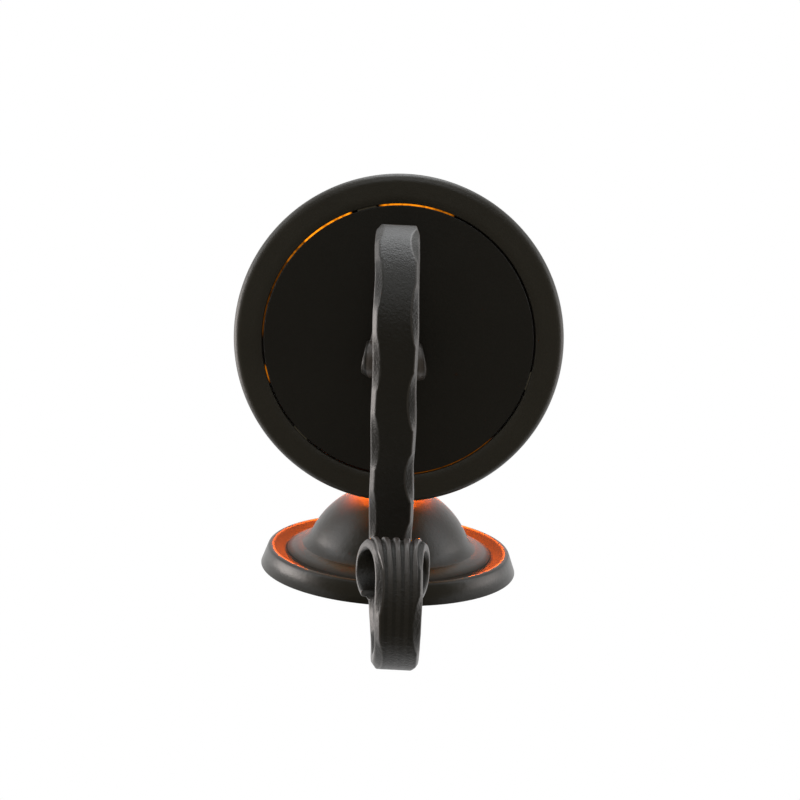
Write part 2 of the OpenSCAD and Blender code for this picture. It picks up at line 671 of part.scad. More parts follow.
// Spring tongue that the bulb's tip presses on
module centre_contact() {
    tongue_w = 3;
    tongue_len = 5.5;
    color(brass) on_pan(shell_z) {
        cylinder(h = shell_t + contact_t, r = 3, $fn = fine);
        translate([-tongue_w / 2, 0, 0]) cube([tongue_w, tongue_len, 0.5]);
    }
}
module terminal_screws() {
    r = holder_d / 2;
    for (s = [-1, 1]) color(brass) on_pan(holder_z + terminal_h) translate([s * (r - 3), 0, 0])
        rotate([0, 90 * s, 0]) difference() {
            cylinder(h = 2.6, d = terminal_d, $fn = fine);
            translate([-terminal_d / 2 - 1, -0.4, 1.6]) cube([terminal_d + 2, 0.8, 2]);
        }
}

// Bulb: screw cap with rolled thread, insulator, tip, glass globe and light strips
thread_pitch = 3.6;
module bulb_cap() {
    r = cap_d / 2;
    turns = floor((cap_h - 6) / thread_pitch);
    color(brass) on_pan(cap_z) difference() {
        rotate_extrude($fn = fine) polygon(concat(
            [[0, 0], [r - 3, 0], [r - 1.2, 2]],
            [for (k = [0:turns - 1], h = [0:3])
                [r - (h == 1 || h == 2 ? 0 : 1.1), tip_h + (k + h * 0.27) * thread_pitch]],
            [[r - 1.1, cap_h - 2], [r - 0.3, cap_h - 1.5], [r - 0.3, cap_h], [0, cap_h]]
        ));
        translate([0, 0, 2.4]) cylinder(h = cap_h, r = cap_in_r, $fn = fine);
        translate([0, 0, -1]) cylinder(h = 4, r = 6, $fn = fine);
    }
}
module bulb_insulator() {
    bore = tip_r + thread_gap;
    color([0.08, 0.07, 0.08]) on_pan(tip_z) rotate_extrude($fn = fine)
        polygon([[bore, 1.1], [4.6, 1.1], [cap_d / 2 - 3.2, tip_h], [6, tip_h], [6, tip_h + 1],
            [bore, tip_h + 1]]);
}
module bulb_tip() {
    color(zinc) on_pan(tip_z) rotate_extrude($fn = fine)
        polygon([[0, 0], [3, 0], [4.6, 1.1], [tip_r, 1.1], [tip_r, tip_h + 1], [0, tip_h + 1]]);
}
cap_in_r = cap_d / 2 - 1.9;
neck_r = cap_in_r - thread_gap;
glass_sink = 6;
function globe_line(o) =
    let (r = globe_d / 2 - o, n = neck_r - o, mid = globe_h - globe_d / 2)
    concat(
        [[n, -glass_sink], [n, 2]],
        [for (i = [1:9]) let (t = i / 10) [n + (r - n) * smooth(t), 2 + (mid - 2) * t]],
        arc([0, mid], r, 0, 90, 14)
    );
module bulb_glass() {
    outer = globe_line(0);
    inner = globe_line(glass_t);
    color([1, 0.85, 0.6, 0.4]) on_pan(globe_z) rotate_extrude($fn = fine)
        polygon(concat(outer, reverse(inner)));
}
strip_r = 7;
strip_from = 17;
strip_top_gap = 26;
strip_to = globe_h - strip_top_gap;
module bulb_stem() {
    stem_r = 4;
    stem_sink = 4.5;
    foot_r = neck_r - glass_t;
    color([0.9, 0.92, 0.92, 0.5]) on_pan(globe_z) rotate_extrude($fn = fine)
        polygon([[0, -glass_sink], [foot_r, -glass_sink], [foot_r, -stem_sink], [stem_r, 2],
            [stem_r, strip_from - 3], [strip_r + 1, strip_from - 1], [strip_r + 1, strip_from],
            [1.5, strip_from], [1.5, strip_to], [strip_r + 1, strip_to], [strip_r + 1, strip_to + 1],
            [0, strip_to + 2]]);
}
module light_strips() {
    color([1, 0.75, 0.3]) on_pan(globe_z) for (i = [0:strip_count - 1])
        rotate([0, 0, (i + 0.5) * 360 / strip_count]) translate([strip_r, 0, strip_from])
            cylinder(h = strip_to - strip_from, r = 0.8, $fn = 16);
}

wall_canopy();
mounting_strap();
earth_screw();
strap_nut();
nipple();
collar_nut();
neck_tube();
nipple_nut();
wire_bush();
upright_bracket();
scroll_arm();
centre_stud();
stud_nut();
lock_screw();
base_plate();
drip_pan();
pan_tabs();
sleeve_lugs();
candle_sleeve();
lampholder();
holder_ring();
screw_shell();
centre_contact();
terminal_screws();
bulb_cap();
bulb_insulator();
bulb_tip();
bulb_glass();
bulb_stem();
light_strips();
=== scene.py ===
"""Dresses a candle wall light: the forged scroll arm, the spun canopy and drip pan, the lit
wax sleeve, the lampholder and its bulb, and a plain studio. Metres, Z up, the wall at Y = 0."""

import json
import math

import bpy
import numpy as np
from mathutils import Matrix, Vector


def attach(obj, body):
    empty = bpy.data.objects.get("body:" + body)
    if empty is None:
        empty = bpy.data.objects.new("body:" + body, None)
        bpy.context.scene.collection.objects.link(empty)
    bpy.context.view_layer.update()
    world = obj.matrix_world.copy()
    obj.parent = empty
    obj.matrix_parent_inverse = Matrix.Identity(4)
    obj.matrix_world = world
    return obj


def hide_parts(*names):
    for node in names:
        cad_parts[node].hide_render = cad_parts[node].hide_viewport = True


bl_info = {
    "name": "Candle Wall Light",
    "version": (1, 0, 0),
    "blender": (4, 5, 0),
    "location": "3D View > Sidebar > Wall Light",
    "description": "Fine form and finish of a wrought iron candle wall light",
    "category": "Add Mesh",
}

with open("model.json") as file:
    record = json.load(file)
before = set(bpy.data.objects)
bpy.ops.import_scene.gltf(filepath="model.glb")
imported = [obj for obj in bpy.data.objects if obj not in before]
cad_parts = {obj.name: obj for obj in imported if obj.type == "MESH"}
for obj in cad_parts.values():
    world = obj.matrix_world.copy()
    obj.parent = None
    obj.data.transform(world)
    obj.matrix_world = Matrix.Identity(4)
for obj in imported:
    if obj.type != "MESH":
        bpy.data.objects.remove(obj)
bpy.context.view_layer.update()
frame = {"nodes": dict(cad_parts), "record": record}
FINISHES = {m["slot"]: m["base_color"] for m in frame["record"]["materials"]}
SLOTS = {part["node"]: part["material_slot"] for part in frame["record"]["subparts"]}
MM = 0.001

# Sizes of the solids, in millimetres
CANOPY_D, RIM_D, RIM_H, RIM_ROUND, SHEET_T = 133.4, 127.2, 10.0, 2.0, 1.2
LEDGE_H, LEDGE_ROUND, LEDGE_LEAN, DISH_LEAN, HOLLOW_R = 11.3, 18.0, 7.0, 20.0, 1.8
CREASE_D, FLARE_R = 91.0, 12.0
DOME_R, DOME_H = 45.0, 43.0
NIPPLE_D, RUN_GAP = 9.7, 0.3
PAN_REACH, PAN_DROP, PAN_D, PAN_T = 125.0, 50.0, 157.4, 2.5
PAN_RIM_H, PAN_ROUND, PLATE_D, PLATE_T, RING_GAP = 12.0, 4.0, 128.4, 3.0, 0.8
BAR_W, BAR_T, TAIL_W, TAIL_T = 19.4, 8.0, 30.6, 2.4
UPPER_R, UPPER_CURL_R, LOWER_R, LOWER_CURL_R = 40.0, 6.6, 24.5, 10.0
LOWER_DROP, EASE_R, EASE_TURN, CURL_TURN, LINK_PULL = 141.0, 38.0, 35.0, 262.0, 46.0
LOCK_U, SEAT_FRONT, SEAT_BACK = 136.7, 1.3, 6.0
SPREAD_LEN, SPREAD_FULL, DRAW_LEN = 62.0, 19.0, 80.0
CURL_LEAN, ARM_SHIFT, ARM_YAW, ARM_ROLL, LINK_LEN = 3.6, 2.0, 1.4, 1.1, 115.0
SLEEVE_D, SLEEVE_T, SLEEVE_H, SLOT_W = 131.4, 4.5, 156.0, 16.0
MELT_H, RUN_DEPTH = 3.0, 1.6

# Finer form of the arm. The lists of four follow the bar's edges
FACET_STARTS = (6.1, 20.1, 12.5, 30.0)
EDGE_CUTS, EDGE_GIVE = (2.4, 1.4, 1.4, 2.4), 0.12
EDGE_DROP, FACET_DROP = 2.8, 1.9
# The ribs' length and margin, and how far their painted highlight runs down the lower fishtail in
# streaks
RIB_LEN, RIB_MARGIN, STREAK_LEN = 62.0, 1.6, 115.0
UPPER_RIB_SHARE = 0.25  # the upper curl is rolled close against the plate and ribbed more lightly
TIP_DRAW, TIP_LEN = 2.4, 16.0

# Painted highlight on the arm's coat, kept as an attribute of its mesh: 1 on its edges, more on its
# ribs. It lightens the coat's colour there and adds coat shine
HIGHLIGHT_ATTRIBUTE = "rubbed"
RIB_HIGHLIGHT = 2.4

# Runs of wax: place round the sleeve in degrees, share of its height, width in degrees
WAX_RUNS = ((12, 0.62, 5), (58, 0.3, 4), (97, 0.45, 6), (141, 0.72, 5), (176, 0.25, 4),
            (214, 0.5, 5), (236, 0.35, 4), (305, 0.66, 6), (338, 0.28, 4))

# Stretches of the ring gap that light leaks through: start and end in degrees, level
GAP_LEAKS = ((69.8, 77.8, 0.12), (77.8, 99.8, 0.3), (113.3, 136.0, 0.4), (136.0, 147.0, 0.1),
             (147.0, 180.0, 0.02), (193.7, 199.7, 0.12), (279.4, 316.0, 0.03))
LEAK_FADE, FOOT_GLOW_H = 0.6, 2.5
BULB_HEIGHT, BULB_REACH = 0.03, 0.075

# Mesh steps round the canopy and the pan, and the canopy's dished brim by its two radii in metres
ROUND_STEPS = 256
BRIM = (0.0505, RIM_D / 2 * MM - 0.002)

# Studio, in metres and degrees
LAMP_AIM, LAMP_REACH, LAMP_SIZE, LAMP_SPREAD = (0.0, -0.1, -0.08), 1.25, (0.85, 0.9), 70
COOL, WARM, AMBER = (0.94, 0.97, 1.0), (1.0, 0.92, 0.88), (1.0, 0.12, 0.0)
FLOOR_HALF = 5.0
CAMERA_PLACE = (0.00414, -0.20748, -0.66131)
CAMERA_TURNS = (("Z", -2.939), ("Y", -0.185), ("X", 10.225))


# Measured outlines

def arc(cx, cy, r, start, end, steps):
    """Points of an arc, angles in degrees."""
    turn = np.radians(np.linspace(start, end, steps + 1))
    return np.stack([cx + r * np.cos(turn), cy + r * np.sin(turn)], axis=1)


def smooth(t):
    """Eases from 0 to 1 as t goes from 0 to 1."""
    s = np.clip(t, 0, 1)
    return s * s * (3 - 2 * s)


def crossing(p, rp, q, rq):
    """The left crossing of a circle round p and a circle round q."""
    line = q - p
    d = np.hypot(*line)
    along = (d * d + rp * rp - rq * rq) / (2 * d)
    side = math.sqrt(rp * rp - along * along)
    return p + (along * line + side * np.array([-line[1], line[0]])) / d


def bearing(v):
    """Direction of v in degrees."""
    return math.degrees(math.atan2(v[1], v[0]))


# Meshes

def grid_faces(rows, cols, close_rows=False, close_cols=False):
    """Quads over a grid of points that is stored row by row."""
    i = np.arange(rows if close_rows else rows - 1)[:, None]
    j = np.arange(cols if close_cols else cols - 1)[None, :]
    ahead, beside = (i + 1) % rows, (j + 1) % cols
    here, there = i * cols, ahead * cols
    return np.stack([here + j, here + beside, there + beside, there + j], axis=-1).reshape(-1, 4)


def make_piece(name, points, faces, body, material):
    """Adds a smooth-shaded piece from points in millimetres and lets it ride on a body."""
    mesh = bpy.data.meshes.new(name)
    mesh.from_pydata((np.asarray(points) * MM).tolist(), [], [list(map(int, f)) for f in faces])
    mesh.update()
    mesh.polygons.foreach_set("use_smooth", [True] * len(mesh.polygons))
    mesh.materials.append(material)
    piece = bpy.data.objects.new(name, mesh)
    bpy.context.scene.collection.objects.link(piece)
    bpy.context.view_layer.objects.active = piece
    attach(piece, body)
    return piece


def lathe(line, segments, place):
    """Points and quads of a closed outline, pairs of radius and height, turned about an axis."""
    turn = np.radians(np.arange(segments) * 360 / segments)
    r, h = line[:, 0][None, :], line[:, 1][None, :]
    ring = (r * np.cos(turn)[:, None], r * np.sin(turn)[:, None], h + 0 * turn[:, None])
    points = place(*(axis.reshape(-1) for axis in ring))
    return points, grid_faces(segments, len(line), True, True)


def out_from_wall(x, y, h):
    """Places a shape whose axis runs out from the wall."""
    return np.stack([x, -h, y], axis=1)


def on_pan(x, y, h):
    """Places a shape on the pan's upright axis, with its height counted from the pan's underside."""
    return np.stack([x, y - PAN_REACH, h - PAN_DROP], axis=1)


def even_normals(piece):
    """Gives broad faces flat shading, so that narrow bevels between them catch the light."""
    piece.modifiers.new("Even normals", "WEIGHTED_NORMAL").keep_sharp = False


# Shaders

class Wave:
    """A value in a tree of nodes. Arithmetic on it adds Math nodes."""

    def __init__(self, work, socket):
        self.work = work
        self.socket = socket

    def math(self, operation, *values):
        """Adds one Math node that works on the values."""
        return self.work.node("Math", {"operation": operation}, dict(enumerate(values)))

    def __add__(self, other):
        return self.math("ADD", self, other)

    def __radd__(self, other):
        return self.math("ADD", other, self)

    def __sub__(self, other):
        return self.math("SUBTRACT", self, other)

    def __rsub__(self, other):
        return self.math("SUBTRACT", other, self)

    def __mul__(self, other):
        return self.math("MULTIPLY", self, other)

    def __rmul__(self, other):
        return self.math("MULTIPLY", other, self)

    def __pow__(self, other):
        return self.math("POWER", self, other)

    def clip(self):
        """Keeps the value between 0 and 1."""
        return self.work.node("Clamp", {}, {"Value": self})


class NodeWork:
    """The tree of nodes of one material or world."""

    def __init__(self, tree):
        self.nodes = tree.nodes
        self.links = tree.links

    def feed(self, socket, value):
        """Links a wave to a socket, or sets a plain value on it."""
        if isinstance(value, Wave):
            self.links.new(value.socket, socket)
        else:
            if hasattr(socket.default_value, "__len__") and len(value) < len(socket.default_value):
                value = (*value, 1.0)
            socket.default_value = value

    def node(self, kind, settings, sockets, output=0):
        """Adds a node, sets it up, feeds its sockets and gives back one output."""
        node = self.nodes.new("ShaderNode" + kind)
        for setting, value in settings.items():
            if setting == "stops":
                ramp = node.color_ramp.elements
                while len(ramp) < len(value):
                    ramp.new(0.5)
                for element, (place, colour) in zip(ramp, value):
                    element.position = place
                    element.color = (*colour, 1.0)
            else:
                setattr(node, setting, value)
        for socket, value in sockets.items():
            self.feed(node.inputs[socket], value)
        return Wave(self, node.outputs[output])


class Finish(NodeWork):
    """One procedural material with a single surface shader."""

    def __init__(self, name, **constants):
        self.material = bpy.data.materials.new(name)
        self.material.use_nodes = True
        super().__init__(self.material.node_tree)
        shader = next(n for n in self.nodes if n.type == "BSDF_PRINCIPLED")
        self.sockets = {s.name.lower().replace(" ", "_"): s for s in shader.inputs}
        for name, value in constants.items():
            self.feed(self.sockets[name], value)

    def place(self):
        """Position on the piece, in metres."""
        return self.node("TexCoord", {}, {}, "Object")

    def along(self, axis):
        """Position along one axis, in metres."""
        return self.node("SeparateXYZ", {}, {"Vector": self.place()}, axis)

    def noise(self, scale, detail=2.0, roughness=0.5, at=None):
        """Cloudy noise from 0 to 1."""
        settings = {"noise_dimensions": "3D", "normalize": True}
        sockets = {"Scale": scale, "Detail": detail, "Roughness": roughness}
        return self.node("TexNoise", settings, {"Vector": at or self.place(), **sockets})

    def ramp(self, value, *stops):
        """Colours that change with a value, from stops of a place and a colour."""
        return self.node("ValToRGB", {"stops": stops}, {"Fac": value})

    def mix(self, factor, low, high):
        """Blends two colours."""
        return self.node("Mix", {"data_type": "RGBA"}, {"Factor": factor, 6: low, 7: high}, 2)

    def stretch(self, x, y, z):
        """Position scaled along each axis, for drawn or brushed grain."""
        sockets = {"Vector": self.place(), "Scale": (x, y, z)}
        return self.node("Mapping", {"vector_type": "POINT"}, sockets)

    def surface(self, **waves):
        """Feeds the surface shader, and turns a height in metres into bumps."""
        height = waves.pop("height", None)
        if height is not None:
            bump = self.node("Bump", {}, {"Height": height, "Strength": 1.0, "Distance": 1.0})
            self.feed(self.sockets["normal"], bump)
        for name, wave in waves.items():
            self.feed(self.sockets[name], wave)
        return self.material


BLACK, WHITE = (0.0, 0.0, 0.0), (1.0, 1.0, 1.0)


def shade(colour, factor):
    """A colour made lighter or darker."""
    return tuple(min(1.0, c * factor) for c in colour[:3])


def powder_coat(name, settings, hammered=False, smoother=0.0, painted_light_gain=1.0, dull_ring=None):
    """Matt powder coat with a sandy grain. On the hammered arm the grain is deeper, over the
    unevenness of the forged iron, and a painted highlight lightens the coat along the edges and
    rib crests, which also get extra coat shine. A ring round the wall fixing, given by its two radii in
    metres, can be left duller."""
    coat = Finish(name, specular_ior_level=settings.coat_shine, metallic=0.0, coat_roughness=0.34)
    grain = coat.noise(1500.0, 3.0, 0.6)
    cloud = coat.noise(45.0, 3.0, 0.55)
    sand = settings.grain_depth * (2.2 if hammered else 1.0)
    height = grain * sand + coat.noise(760.0 if hammered else 420.0, 2.0) * (sand * 1.1)
    # The factor lightens the coat as painted light: it shows one part more brightly lit than the same
    # black coat elsewhere
    dark, pale = shade(settings.iron_colour, 0.78 * painted_light_gain), shade(settings.iron_colour, 1.35 * painted_light_gain)
    waves = {
        "base_color": coat.mix((grain * 0.55 + cloud * 0.75 - 0.15).clip(), dark, pale),
        "roughness": settings.coat_roughness - 0.08 - smoother + grain * 0.1 + cloud * 0.08,
    }
    if hammered:
        deep = settings.hammer_depth
        height = height + coat.noise(85.0, 2.0, 0.4) * deep + coat.noise(210.0, 2.0, 0.5) * (deep * 0.3)
        # The attribute is a painted highlight: it lightens the colour of edges and rib crests and adds
        # coat shine there
        rubbed = coat.node("Attribute", {"attribute_name": HIGHLIGHT_ATTRIBUTE}, {}, "Fac")
        waves["coat_weight"] = rubbed * settings.rubbed_shine
        highlight_share = (rubbed * 0.4).clip()
        waves["base_color"] = coat.mix(highlight_share, waves["base_color"], settings.rubbed_colour)
    if dull_ring:
        inner, outer = dull_ring
        x, z = coat.along("X"), coat.along("Z")
        r = (x * x + z * z) ** 0.5
        ring = ((r - inner) * 250.0).clip() * ((outer - r) * 500.0).clip()
        waves["roughness"] = waves["roughness"] + ring * 0.6
    return coat.surface(height=height, **waves)


def weld_scale(name, settings):
    """A paler mottled grey for the tabs, lighter than the coat around them."""
    scale, iron = Finish(name, specular_ior_level=0.4), settings.iron_colour
    cloud = scale.noise(300.0, 3.0)
    return scale.surface(
        base_color=scale.mix(cloud, shade(iron, 9.0), shade(iron, 20.0)),
        roughness=0.5 + cloud * 0.2,
        height=cloud * 0.0001,
    )


def zinc_plate(name, colour):
    """Bright zinc with drawn streaks and cloudy patches."""
    zinc = Finish(name, metallic=1.0)
    streak = zinc.noise(260.0, 3.0, 0.6, zinc.stretch(0.12, 1.0, 1.0))
    cloud = zinc.noise(90.0, 4.0, 0.6)
    return zinc.surface(
        base_color=zinc.mix(cloud, shade(colour, 0.72), shade(colour, 1.08)),
        roughness=0.26 + streak * 0.18 + cloud * 0.12,
        height=streak * 0.00003,
    )


def lacquer(name, colour):
    """Thin coloured lacquer over a plated screw."""
    paint = Finish(name, metallic=0.4)
    cloud = paint.noise(500.0, 3.0)
    return paint.surface(base_color=paint.mix(cloud, shade(colour, 0.7), shade(colour, 1.25)),
                         roughness=0.3 + cloud * 0.2)


def drawn_brass(name, colour):
    """Brass with faint drawing lines and darker spots."""
    brass = Finish(name, metallic=1.0)
    rings = brass.noise(500.0, 2.0, 0.5, brass.stretch(0.2, 0.2, 3.0))
    spots = brass.ramp(brass.noise(160.0, 4.0, 0.6), (0.52, BLACK), (0.68, WHITE))
    return brass.surface(
        base_color=brass.mix(spots, colour[:3], shade(colour, 0.62)),
        roughness=0.2 + rings * 0.16 + brass.noise(160.0, 4.0, 0.6) * 0.1,
        height=rings * 0.00002,
    )


def rolled_nickel(name, colour):
    """Thin rolled cap metal, lightly scuffed."""
    metal = Finish(name, metallic=1.0)
    scuff = metal.noise(350.0, 4.0, 0.7)
    return metal.surface(base_color=metal.mix(scuff, shade(colour, 0.78), shade(colour, 1.1)),
                         roughness=0.18 + scuff * 0.22, height=scuff * 0.00003)


def glazed_porcelain(name, colour):
    """Cream porcelain with iron specks under its glaze."""
    glaze = Finish(name, coat_roughness=0.08, specular_ior_level=0.5)
    specks = glaze.ramp(glaze.noise(900.0, 2.0), (0.7, BLACK), (0.78, WHITE))
    cloud = glaze.noise(60.0, 3.0)
    cream = glaze.mix(cloud, shade(colour, 0.92), colour[:3])
    return glaze.surface(
        base_color=glaze.mix(specks, cream, shade(colour, 0.5)),
        roughness=0.22 + cloud * 0.12,
        coat_weight=0.6 + cloud * 0.3,
        height=cloud * 0.0001,
    )


def black_insulator(name, colour):
    """Black glass insulator with small bubbles."""
    glass = Finish(name, specular_ior_level=0.6)
    bubbles = glass.noise(1200.0, 2.0)
    return glass.surface(base_color=glass.mix(bubbles, shade(colour, 0.6), shade(colour, 1.6)),
                         roughness=0.08 + bubbles * 0.12)


def clear_amber_glass(name, colour):
    """Blown clear glass with a warm tint."""
    glass = Finish(name, transmission_weight=1.0, ior=1.45)
    ripple = glass.noise(30.0, 1.0)
    return glass.surface(base_color=glass.mix(ripple, colour[:3], shade(colour, 0.9)),
                         roughness=0.01 + ripple * 0.03, height=ripple * 0.0004)


def glowing_strip(name, settings):
    """Amber light strip with brighter spots along it."""
    strip = Finish(name, emission_strength=settings.strip_strength)
    spots = strip.noise(700.0, 1.0)
    return strip.surface(
        base_color=strip.mix(spots, (1.0, 0.6, 0.2), (1.0, 0.75, 0.35)),
        roughness=0.3 + spots * 0.1,
        emission_color=strip.mix(spots, (1.0, 0.5, 0.12), (1.0, 0.72, 0.3)),
    )


def foot_glow(wax, settings):
    """Light under the sleeve's foot, in the few places where it leaks into the ring gap."""
    stops = [(0.0, 0.0)]
    for start, end, level in GAP_LEAKS:
        stops += [(start - LEAK_FADE, 0.0), (start + LEAK_FADE, level),
                  (end - LEAK_FADE, level), (end + LEAK_FADE, 0.0)]
    x, y = wax.along("X"), wax.along("Y") + PAN_REACH * MM
    turn = x.math("ARCTAN2", 0.0 - y, x) * (0.5 / math.pi) + 1.0
    ring = wax.ramp(turn.math("FRACT", turn),
                    *((place / 360, shade(settings.gap_glow, level)) for place, level in stops))
    speckle = (wax.noise(480.0, 2.0) * 5.0 - 1.6).clip()
    return wax.mix(speckle, wax.mix(0.6, ring, BLACK), ring)


def lit_wax(name, settings):
    """Translucent wax lit from inside: brightest round the bulb, cloudy, deeper at its edges.
    Its foot is painted near black as shade in the ring gap, but for the light that leaks into it."""
    wax = Finish(name, subsurface_weight=0.25, subsurface_radius=(0.006, 0.003, 0.0015),
                 specular_ior_level=0.4, emission_strength=settings.glow_strength)
    height = wax.along("Z")
    foot = (((PLATE_T - PAN_DROP + FOOT_GLOW_H) * MM - height) * 900.0).clip()
    away = (height - BULB_HEIGHT) * (1 / BULB_REACH)
    level = (1.0 - away * away * 0.42).clip() * ((height + 0.053) * 17.0).clip()
    cloud = wax.noise(38.0, 4.0, 0.6)
    veins = wax.noise(150.0, 3.0, 0.6)
    glow = (level * (0.62 + cloud * 0.55) + veins * 0.08).clip()
    body = wax.mix(cloud, shade(settings.wax_colour, 0.85), settings.wax_colour)
    light = wax.mix(glow, settings.glow_edge, settings.glow_core)
    return wax.surface(
        # The foot's near-black colour is painted shade where the sleeve stands down in the ring gap
        base_color=wax.mix(foot, body, (0.01, 0.006, 0.004)),
        emission_color=wax.mix(foot, light, foot_glow(wax, settings)),
        roughness=0.38 + veins * 0.2,
        height=cloud * 0.0006 + veins * 0.00012,
    )


# Settings

class WallLightFinish(bpy.types.PropertyGroup):
    """Colours and grain of the finishes."""

    iron_colour: bpy.props.FloatVectorProperty(
        name="Iron colour", description="Colour of the powder coat", subtype="COLOR", size=3,
        default=(0.0075, 0.0066, 0.0048), min=0.0, max=1.0)
    coat_roughness: bpy.props.FloatProperty(
        name="Coat roughness", description="Roughness of the powder coat", subtype="FACTOR",
        default=0.38, min=0.2, max=0.9)
    coat_shine: bpy.props.FloatProperty(
        name="Coat shine", description="Strength of the powder coat's reflections", subtype="FACTOR",
        default=0.4, min=0.0, max=1.0)
    # Colour of the painted highlight on the arm's edges and rib crests
    rubbed_colour: bpy.props.FloatVectorProperty(
        name="Painted highlight colour", description="Colour of the painted highlight on the arm's edges and rib crests",
        subtype="COLOR", size=3, default=(0.075, 0.062, 0.055), min=0.0, max=1.0)
    # Extra coat shine where the highlight is painted
    rubbed_shine: bpy.props.FloatProperty(
        name="Ridge shine", description="Extra coat shine on the arm's edges and rib crests",
        subtype="FACTOR", default=0.32, min=0.0, max=1.0)
    grain_depth: bpy.props.FloatProperty(
        name="Grain depth", description="Depth of the powder coat's sandy grain", unit="LENGTH",
        default=0.00009, min=0.0, max=0.0005, precision=5)
    hammer_depth: bpy.props.FloatProperty(
        name="Hammer depth", description="Depth of the forged unevenness on the arm", unit="LENGTH",
        default=0.0002, min=0.0, max=0.003, precision=4)


class WallLightCandle(bpy.types.PropertyGroup):
    """Wax, runs and glow of the candle."""

    wax_colour: bpy.props.FloatVectorProperty(
        name="Wax colour", description="Colour of the wax", subtype="COLOR", size=3,
        default=(0.85, 0.5, 0.2), min=0.0, max=1.0)
    glow_core: bpy.props.FloatVectorProperty(
        name="Core glow", description="Glow of the wax beside the bulb", subtype="COLOR", size=3,
        default=(0.12, 0.058, 0.014), min=0.0, max=1.0)
    glow_edge: bpy.props.FloatVectorProperty(
        name="Edge glow", description="Glow of the wax far from the bulb", subtype="COLOR", size=3,
        default=(0.1, 0.032, 0.005), min=0.0, max=1.0)
    gap_glow: bpy.props.FloatVectorProperty(
        name="Gap glow", description="Light that leaks through the ring gap", subtype="COLOR", size=3,
        default=(1.0, 0.28, 0.005), min=0.0, max=1.0)
    glow_strength: bpy.props.FloatProperty(
        name="Glow strength", description="Strength of the light from the wax",
        default=4.0, min=0.0, max=10.0)
    strip_strength: bpy.props.FloatProperty(
        name="Strip strength", description="Strength of the bulb's light strips",
        default=6.0, min=0.0, max=50.0)
    run_depth: bpy.props.FloatProperty(
        name="Run depth", description="How far the wax runs stand out", unit="LENGTH",
        default=RUN_DEPTH * 0.001, min=0.0, max=0.004, precision=4)
    round_steps: bpy.props.IntProperty(
        name="Steps round", description="Mesh steps round the sleeve", default=320, min=96, max=720)


class WallLightForge(bpy.types.PropertyGroup):
    """Hammer marks and ribs of the forged arm."""

    facet_depth: bpy.props.FloatProperty(
        name="Facet depth", description="Deepest hammered facet along the bar's edges", unit="LENGTH",
        default=0.0042, min=0.003, max=0.0045, precision=4)
    facet_pitch: bpy.props.FloatProperty(
        name="Facet spacing", description="Distance from one facet to the next along an edge",
        unit="LENGTH", default=0.0337, min=0.026, max=0.04, precision=4)
    facet_share: bpy.props.FloatProperty(
        name="Facet share", description="Share of that distance that each facet takes up",
        subtype="FACTOR", default=0.7, min=0.5, max=0.9)
    rib_height: bpy.props.FloatProperty(
        name="Rib height", description="Height of the ribs on the fishtails", unit="LENGTH",
        default=0.0011, min=0.0, max=0.0011, precision=4)
    rib_count: bpy.props.IntProperty(
        name="Ribs", description="Number of ribs on each fishtail", default=5, min=4, max=6)
    edge_round: bpy.props.FloatProperty(
        name="Edge rounding", description="Rounding of the bar's edges under the coat", unit="LENGTH",
        default=0.00045, min=0.0001, max=0.001, precision=5)
    ring_step: bpy.props.FloatProperty(
        name="Ring spacing", description="Spacing of the mesh rings along the bar", unit="LENGTH",
        default=0.0008, min=0.0004, max=0.004, precision=4)


class WallLightStudio(bpy.types.PropertyGroup):
    """Lamps, floor and camera."""

    floor_drop: bpy.props.FloatProperty(
        name="Floor drop", description="Distance of the floor below the wall fixing", unit="LENGTH",
        default=1.4, min=0.8, max=3.0)
    floor_colour: bpy.props.FloatVectorProperty(
        name="Floor colour", description="Colour of the plain floor", subtype="COLOR", size=3,
        default=(0.82, 0.77, 0.62), min=0.0, max=1.0)
    key_power: bpy.props.FloatProperty(
        name="Key power", description="Power of the broad lamp in front", unit="POWER",
        default=2.2, min=0.0)
    side_power: bpy.props.FloatProperty(
        name="Side power", description="Power of the lamp on the left, which the others follow",
        unit="POWER", default=2.6, min=0.0)
    glow_power: bpy.props.FloatProperty(
        name="Glow power", description="Power of the candle's light on the canopy", unit="POWER",
        default=0.35, min=0.0)
    sky_level: bpy.props.FloatProperty(
        name="Sky level", description="Strength of the plain light from all round",
        default=0.21, min=0.0, max=1.0)
    lens: bpy.props.FloatProperty(
        name="Lens", description="Focal length of the camera", subtype="DISTANCE_CAMERA",
        default=58.5, min=20.0, max=200.0)


# Canopy and pan

